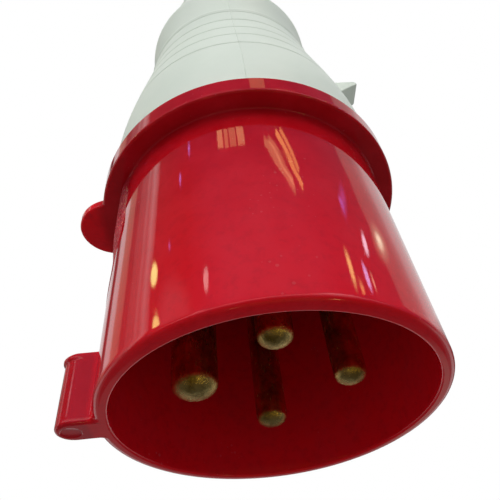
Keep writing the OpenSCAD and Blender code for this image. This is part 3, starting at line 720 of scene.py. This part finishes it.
def build_housing():
    rings = []
    rng = np.random.default_rng(7)

    def circles(*points):
        rings.extend(ring(house_plan(r), z) for r, z in points)

    def line_at(z):
        """Height of the parting line: a fine flash that comes and goes."""
        return 0.045 + 0.09 * max(0, math.sin(z * 5.1) * math.sin(z * 1.7 + 1) + 0.25 * rng.random())

    # the front edge, and the taper with its grooves and the lug
    lug_start = 78.0
    while lug_x(lug_start) < housing_r(lug_start) + 0.02:
        lug_start += 0.01
    circles((CHAMBER_R, HOUSE_Z), (26.2, HOUSE_Z), (26.45, 44.02), (26.58, 44.15), (FRONT_R, 44.35))
    for z in (45, 46.2):
        rings.append(ring(house_plan(FRONT_R, line=line_at(z)), z))
    for z in taper_heights(lug_start):
        if lug_start <= z < LUG_Z:
            rings.append(ring(house_plan(outer_r(z), lug_x(z), line_at(z)), z))
        elif z == LUG_Z:
            rings.append(ring(house_plan(outer_r(z), LUG_TIP_X, line_at(z)), z))
            rings.append(ring(house_plan(outer_r(z + 0.03), line=line_at(z)), z + 0.03))
        else:
            rings.append(ring(house_plan(outer_r(z), line=line_at(z)), z))

    # rim, step down to the waist, flare and collar
    circles(*arc(outer_r(90.9) - 0.3, 90.95, 0.3, 0, 90, 4))
    circles(*arc(WAIST_R + 0.35, WAIST_Z - 0.1, 0.35, 250, 180, 4))
    for i in range(1, 17):
        t = i / 16
        r = WAIST_R + (COLLAR_R - WAIST_R) * (0.45 * t + 0.55 * t * t)
        z = WAIST_Z + FLARE_LEN * t
        rings.append(ring(house_plan(r, line=line_at(z) if t < 0.97 else 0), z))
    circles((COLLAR_R, 103.5))
    circles(*arc(COLLAR_R - COLLAR_ROUND, HOUSE_TOP - COLLAR_ROUND, COLLAR_ROUND, 0, 90, 5))
    circles((COLLAR_R - 0.8, HOUSE_TOP))

    # the threaded tail: a helical ridge that runs out at both ends
    plan = house_plan(1.0)
    turn = np.arctan2(plan[:, 1], plan[:, 0]) / (2 * math.pi)
    root = TAIL_R - THREAD_DEPTH
    circles((root, HOUSE_TOP))
    z = HOUSE_TOP + THREAD_FROM
    while z < TAIL_TOP - THREAD_END:
        phase = (z / THREAD_PITCH - turn) % 1.0
        # flanks that each rise in 0.37 of a pitch, with a flat crest between them
        height = np.clip(1.35 - 2.7 * np.abs(phase - 0.5), 0, 1) * THREAD_DEPTH
        fade = min(1, (z - HOUSE_TOP - THREAD_FROM) / 1.5, (TAIL_TOP - THREAD_END - z) / 0.8)
        rings.append(ring(plan * (root + height * max(0, fade))[:, None], z))
        z += THREAD_STEP
    circles((root, TAIL_TOP - 0.4), (root - 0.4, TAIL_TOP))
    circles((SOCKET_R + 0.3, TAIL_TOP), (SOCKET_R, TAIL_TOP - 0.3))

    # inside: gland socket, floor, chamber, and the bore with its bayonet channels
    circles(
        (SOCKET_R, SOCKET_Z), (FLOOR_HOLE_R, SOCKET_Z), (FLOOR_HOLE_R, FLOOR_Z), (REAR_CHAMBER_R, FLOOR_Z),
        (REAR_CHAMBER_R, RIM_Z))
    circles(*((min(housing_r(z) - 2.2, CHAMBER_R), z) for z in np.linspace(87.2, 58.3, 12)))
    whole, slot = (
        np.where(near_bayonet(plan, -43.6, high), CHANNEL_R, CHAMBER_R)[:, None] for high in (13.6, -17.4))
    for radii, z in (
        (CHAMBER_R, CHANNEL_TOP + 0.02), (whole, CHANNEL_TOP), (whole, 49.2), (whole, CHANNEL_Z),
        (slot, CHANNEL_Z - 0.02), (slot, HOUSE_Z),
    ):
        rings.append(ring(plan * radii, z))
    return loft("housing_body", rings)


dress(build_housing(), GREY, "rear", "housing_grey", "rear_housing")


# ---------------------------------------------------------------- gland nut
def build_nut():
    one_side = np.array([1.1, 2.2, 3.2, 3.9, 4.35, 4.7, 5.2, 6, 7, 8.4])
    local = np.concatenate([[-10], -one_side[::-1], [0], one_side])
    phi = np.radians(np.concatenate([local + 20 * i + 10 for i in range(NUT_RIBS)]))
    unit = np.column_stack([np.cos(phi), np.sin(phi)])
    within = np.radians(np.tile(local, NUT_RIBS))
    centre = NUT_BODY_R - 0.5
    bulge = centre * np.cos(within) + np.sqrt(np.maximum(0, NUT_RIB_R**2 - (centre * np.sin(within)) ** 2))
    bulge = np.where(np.abs(centre * np.sin(within)) < NUT_RIB_R, bulge, NUT_BODY_R)
    rise = np.maximum(0, bulge - NUT_BODY_R)
    nut_z, nut_top = nut_lo[2], nut_hi[2]
    rib_top, edge, top_round = 122.4, 0.4, 0.6
    angles = [math.radians(90 * i / 5) for i in range(6)]
    rings = []

    def add(r, z, rib=0.0):
        """A ring; rib is how much of their full height the ribs have in it."""
        rings.append(ring(unit * (r + rib * rise)[:, None], z))

    add(NUT_SEAT_R, nut_z)
    for r, z in arc(NUT_BODY_R - edge, nut_z + edge, edge, 270, 360, 4):
        add(r, z)
    for a in angles:
        add(NUT_BODY_R, nut_z + 0.9 + 0.8 * (1 - math.cos(a)), math.sin(a))
    for z in np.linspace(nut_z + 2.2, 121.3, 10):
        add(NUT_BODY_R, z, 1.0)
    for a in angles[4:0:-1]:
        add(NUT_BODY_R, rib_top - 0.9 * math.sin(a), math.sin(a))
    add(NUT_BODY_R - 0.02, rib_top)
    add(NUT_BODY_R - 0.25, 122.75)
    for r, z in arc(NUT_BODY_R - 2.1, nut_top - top_round, top_round, 30, 90, 4):
        add(r, z)
    add(NUT_BODY_R - 2.4, nut_top)
    for r, z in arc(NUT_MOUTH_R + edge, nut_top - edge, edge, 90, 180, 4):
        add(r, z)
    add(NUT_MOUTH_R, NUT_RING_Z)
    add(NUT_RING_R, NUT_RING_Z)
    add(NUT_RING_R, NUT_SEAT_Z)
    add(NUT_SEAT_R, NUT_SEAT_Z)
    return loft("gland_nut_body", rings)


dress(build_nut(), GREY, "nut", "housing_grey", "gland_nut")

# ---------------------------------------------------------------- CAD nodes that stay
KEPT = {
    CARRIER: ["pin_carrier", "carrier_back_plate"],
    STEEL: ["terminal_screw_earth", "terminal_screw_l1", "terminal_screw_l2", "terminal_screw_l3",
            "carrier_screw_a", "carrier_screw_b", "back_plate_screw"],
    RUBBER: ["spigot_seal", "gland_grommet"],
    GREY: ["clamping_cage"],
    WHITE: ["slip_ring"],
}
for mat, names in KEPT.items():
    for name in names:
        for material_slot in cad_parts[name].material_slots:
            material_slot.material = mat

# ---------------------------------------------------------------- floor, world, lamps
FLOOR_R, FLOOR_GAP, FLOOR_STEPS = 1.4, 0.00005, 96


def build_floor():
    """A pale disc under the plug: seen from above only, fading out, and it keeps the plug's shadow."""
    turns = [2 * math.pi * i / FLOOR_STEPS for i in range(FLOOR_STEPS)]
    verts = [(0, 0, 0)] + [(FLOOR_R * math.cos(a), FLOOR_R * math.sin(a), 0) for a in turns]
    faces = [(0, i + 1, (i + 1) % FLOOR_STEPS + 1) for i in range(FLOOR_STEPS)]
    floor = object_from("floor", verts, faces)
    floor.location.z = cad_box[0].z - FLOOR_GAP
    mat = bpy.data.materials.new("floor_pale")
    g = Graph(mat)
    g.nodes.clear()
    camera_ray = g.add("LightPath").outputs["Is Camera Ray"]
    backfacing = g.add("NewGeometry").outputs["Backfacing"]
    away = g.length(g.add("TexCoord").outputs["Object"])
    fade = g.map_range(away, 0.12, 0.75, 1.0, 0.0, smooth=True)
    seen = g.product(g.calc("SUBTRACT", camera_ray, backfacing, clamp=True), fade)
    clear, pale = g.add("BsdfTransparent"), g.add("BsdfDiffuse", {"Color": rgba(0.90)})
    g.add("OutputMaterial", {"Surface": g.mix_shader(seen, clear, pale)})
    floor.data.materials.append(mat)


build_floor()


def toward(azimuth, elevation):
    a, e = math.radians(azimuth), math.radians(elevation)
    return Vector((math.cos(e) * math.cos(a), math.cos(e) * math.sin(a), math.sin(e)))


def side_axes(direction):
    """The level axis and the raised axis of a plane that faces direction."""
    across = Vector((-direction.y, direction.x, 0)).normalized()
    return across, direction.cross(across)


def facing(direction, turn):
    """The rotation that carries Z to direction, turned about it by turn radians."""
    across, upward = side_axes(direction)
    c, s = math.cos(turn), math.sin(turn)
    return Matrix((across * c + upward * s, upward * c - across * s, direction)).transposed()


# what gloss shows of the room: azimuth, elevation, half width, half height, turn, core, colour
GLINTS = [
    (67, -23, 10, 8, 0, 0.4, (0.42, 0.42, 0.38)),
    (106, -27, 9, 7, 0, 0.4, (0.26, 0.20, 0.20)),
    (-75, -52, 50, 34, 0, 0.2, (0.16, 0.12, 0.03)),
    (-45, -42, 5, 5, 0, 0.3, (5.5, 4.6, 1.5)),
    (-118, -55, 3, 3, 0, 0.3, (3.0, 2.4, 0.9)),
    (-134, 28.5, 8, 5, 0, 0.1, (2.4, 1.9, 2.1)),
    (-50, 29, 20, 6, 0, 0.1, (2.6, 2.3, 2.6)),
    (-154, 37, 15, 7, 0, 0.4, (0.42, 0.40, 0.44)),
    (-100, 43, 34, 8, 0, 0.1, (0.33, 0.30, 0.46)),
    (-17, 48, 5, 1.8, 25, 0.0, (0.62, 0.42, 1.5)),
    (-20, 47.5, 1.8, 1.6, 20, 0.1, (1.0, 0.8, 3.0)),
    (5, 42, 7, 2.9, 0, 0.0, (1.6, 1.7, 1.2)),
    (5, 42, 3.4, 1.5, 0, 0.1, (4.2, 4.4, 3.2)),
    (-31, 40.5, 1.7, 3.2, -14, 0.3, (7.0, 5.4, 2.0)),
    (-27, 38.0, 1.6, 1.3, 0, 0.2, (5.5, 3.0, 1.2)),
    (-11, 42.6, 2.3, 1.4, 30, 0.3, (5.5, 5.0, 6.0)),
    (-20, 39, 1.7, 2.4, -20, 0.3, (4.5, 4.0, 7.5)),
    (-16, 38.2, 0.9, 1.6, -15, 0.1, (4.2, 3.0, 2.0)),
    (-172.5, 42.4, 2.9, 1.7, 0, 0.55, (7.0, 7.6, 2.6)),
    (-168.5, 37.1, 3.0, 1.5, 0, 0.5, (6.5, 6.6, 2.2)),
    (-131, 42.3, 1.5, 1.5, -8, 0.7, (5.0, 3.9, 3.8)),
    (-143.5, 57, 0.8, 0.8, 0, 0.1, (1.5, 1.4, 5.0)),
    (-152, 53.4, 0.8, 0.8, 0, 0.1, (1.5, 1.4, 5.0)),
    (-160, 46, 0.8, 0.8, 0, 0.1, (1.2, 1.0, 3.6)),
]


def build_room(g, ray):
    """What gloss shows: light behind the plug, dim before it, with strips, a ground and the glints."""
    x, y, z = g.add("SeparateXYZ", {0: ray}).outputs

    # the left half, one ramp behind the plug and one before it, by azimuth
    half_turn = g.calc("DIVIDE", g.calc("ARCTAN2", y, x), math.pi)
    left_t = g.map_range(g.calc("ABSOLUTE", half_turn), 0.5, 1.0)

    def at(degrees):
        return (degrees / 180 - 0.5) / 0.5

    left_back = g.ramp(left_t, [
        (0.0, 0.85), (at(126), 0.8), (at(129), 0.05), (at(134), 0.06), (at(137), 0.85), (at(144), 0.95),
        (at(146.5), (0.55, 0.44, 0.34)), (at(155), (0.50, 0.38, 0.30)), (at(157), 0.13), (at(162), 0.14),
        (at(164), 0.26), (at(171), 0.34), (at(173), 0.62), (at(176), 0.45), (1.0, 1.0)])
    left_front = g.ramp(left_t, [
        (0.0, (0.28, 0.26, 0.40)), (at(120), (0.25, 0.23, 0.36)), (at(145), 0.10), (at(174), 0.10),
        (at(176), 0.55), (1.0, 1.0)])
    left = g.mix(g.map_range(y, -0.002, 0.002), left_front, left_back)

    # the right half, one ramp that leans with height
    lean_rate, lean_at = 0.4, 42
    rise = g.calc("DIVIDE", g.calc("ARCSINE", z), math.pi)
    leaning = g.calc("MULTIPLY_ADD", rise, lean_rate, half_turn)
    tilt = lean_rate * lean_at / 180

    def lean(degrees):
        return ((degrees / 180 + tilt) + 1) / 2

    right = g.ramp(g.map_range(leaning, -1, 1), [
        (lean(-90), (0.28, 0.26, 0.40)), (lean(-60), (0.24, 0.22, 0.36)), (lean(-40), (0.15, 0.14, 0.24)),
        (lean(1), (0.13, 0.12, 0.18)), (lean(1.6), 0.42), (lean(14), 0.42), (lean(21), 0.55),
        (lean(26), 0.80), (lean(90), 0.85)])
    room = g.mix(g.map_range(x, -0.02, 0.02), left, right)

    # before the plug, dim overhead and a bright strip lower down
    dim = g.product(g.map_range(z, 0.76, 0.85, 0.0, 0.85), g.map_range(y, 0.0, -0.35))
    room = g.mix(dim, room, (0.05, 0.045, 0.11))
    strip = g.product(g.map_range(z, 0.20, 0.23), g.map_range(z, 0.38, 0.35), g.map_range(y, -0.25, -0.55))
    room = g.mix(strip, room, (1.25, 1.05, 1.10))

    # below the horizon, light behind the plug and dark before it
    ground_z, ground_top = -0.6, 0.05

    def depth(height):
        return (height - ground_z) / (ground_top - ground_z)

    ground = g.ramp(g.map_range(z, ground_z, ground_top), [
        (0.0, 0.06), (depth(-0.46), 0.08), (depth(-0.42), 0.22), (depth(-0.33), 0.20), (depth(-0.27), 0.70),
        (depth(-0.05), 0.75), (1.0, 0.5)])
    ground = g.mix(g.map_range(y, 0.0, 0.3), (0.07, 0.055, 0.04), ground)
    room = g.mix(g.map_range(z, -0.12, 0.04, smooth=True), ground, room)

    # a dark band far behind the plug
    far = g.product(g.map_range(z, 0.0, 0.05), g.map_range(z, 0.53, 0.47), g.map_range(y, 0.45, 0.6))
    room = g.mix(far, room, (0.12, 0.11, 0.11))

    for azimuth, elevation, wide, tall, turn, core, colour in GLINTS:
        centre = toward(azimuth, elevation)
        spot = g.add("Mapping", {
            "Location": centre,
            "Rotation": facing(centre, math.radians(turn)).to_euler(),
            "Scale": (math.sin(math.radians(wide)), math.sin(math.radians(tall)), 1.0),
            "Vector": ray,
        }, vector_type="TEXTURE").outputs["Vector"]
        room = g.mix(g.map_range(g.length(spot), 1.0, core, smooth=True), room, colour)
    return room


def build_world():
    """White to the camera, a soft sky for light, and a room for gloss."""
    world = bpy.data.worlds.new("studio")
    bpy.context.scene.world = world
    g = Graph(world)
    g.nodes.clear()
    ray = g.add("TexCoord").outputs["Generated"]
    path = g.add("LightPath").outputs
    height = g.map_range(g.add("SeparateXYZ", {0: ray}).outputs["Z"], -1, 1)
    sky = g.ramp(height, [(0.0, 0.31), (0.42, 0.33), (0.6, 0.50), (1.0, (0.54, 0.55, 0.56))])
    light = g.add("Background", {"Color": g.mix(path["Is Glossy Ray"], sky, build_room(g, ray))})
    white = g.add("Background", {"Color": rgba(1)})
    g.add("OutputWorld", {"Surface": g.mix_shader(path["Is Camera Ray"], light, white)})


build_world()
CENTRE = Vector((0, 0, 0.05))
SHROUD_FRONT = Vector((0, -SHROUD_R, 20)) * MM
GLINT_DISTANCE = 0.8


def lamp(name, back, distance, size, radiance, colour=(1, 1, 1), aim=CENTRE, turn=0.0, gloss_only=False):
    """An area lamp that faces aim; radiance is what its face shows, so its size doesn't change its look."""
    data = bpy.data.lights.new(name, "AREA")
    data.shape = "RECTANGLE"
    data.size, data.size_y = size
    data.energy = radiance * math.pi * size[0] * size[1]
    data.color = colour
    obj = bpy.data.objects.new(name, data)
    bpy.context.scene.collection.objects.link(obj)
    back = back.normalized()
    obj.matrix_world = Matrix.Translation(aim + back * distance) @ facing(back, turn).to_4x4()
    obj.visible_camera = False
    obj.visible_glossy = gloss_only
    obj.visible_diffuse = not gloss_only


lamp("key_soft", Vector((-0.05, -0.64, 0.766)), 0.9, (0.8, 0.8), 3.45)
lamp("fill_left", Vector((-0.95, -0.25, 0.2)), 0.9, (0.6, 0.6), 0.4)
lamp("fill_back", Vector((0.3, 0.9, 0.4)), 0.9, (0.7, 0.7), 1.3)


def glint(name, start, end, width, radiance, colour):
    """A small bright panel that only gloss shows, from one direction to another as seen from the shroud."""
    a, b = toward(*start), toward(*end)
    middle = (a + b).normalized()
    across, upward = side_axes(middle)
    run = b - a
    turn = math.atan2(run.dot(upward), run.dot(across))
    size = (run.length * GLINT_DISTANCE, 2 * math.tan(math.radians(width / 2)) * GLINT_DISTANCE)
    lamp(name, middle, GLINT_DISTANCE, size, radiance, colour, SHROUD_FRONT, turn, gloss_only=True)


WARM, AMBER = (1.0, 0.55, 0.25), (1.0, 0.48, 0.14)
WINDOW = [(-117, -112, 3.2), (-110.6, -107, 2.2), (-105.8, -99.5, 1.9), (-98.2, -91.5, 3.0)]
for i, (start, end, strength) in enumerate(WINDOW):
    glint("window_%d" % i, (start, 58.4), (end, 58.4), 2.2, strength, WARM)
glint("window_high", (-80, 62.5), (-67, 62.5), 2.4, 1.1, WARM)
glint("wedge_a_0", (-74, 57.4), (-56, 50.9), 1.7, 2.4, WARM)
glint("wedge_a_1", (-69.5, 57.6), (-56, 52.0), 1.4, 2.0, WARM)
glint("wedge_b_0", (-61, 58.4), (-49, 50.8), 1.5, 4.6, AMBER)
glint("wedge_b_1", (-56, 58.6), (-48.5, 53.2), 1.3, 3.6, AMBER)

# ---------------------------------------------------------------- camera
CAMERA_AT = Vector((-6.0375, -66.5515, -32.2763)) * MM
CAMERA_FORWARD = Vector((0.07871, 0.71399, 0.69572))
CAMERA_RIGHT = Vector((0.99414, -0.00435, -0.10801))

camera_data = bpy.data.cameras.new("camera")
camera = bpy.data.objects.new("camera", camera_data)
bpy.context.scene.collection.objects.link(camera)
forward = CAMERA_FORWARD.normalized()
right = (CAMERA_RIGHT - forward * CAMERA_RIGHT.dot(forward)).normalized()
up = right.cross(forward)
turn = Matrix((right, up, -forward)).transposed().to_4x4()
camera.matrix_world = Matrix.Translation(CAMERA_AT) @ turn
camera_data.sensor_width = 36.0
camera_data.lens = 36.26
camera_data.shift_x = -0.0241
camera_data.shift_y = -0.0071
camera_data.clip_start = 0.001
bpy.context.scene.camera = camera
bpy.context.scene.view_settings.view_transform = "Standard"
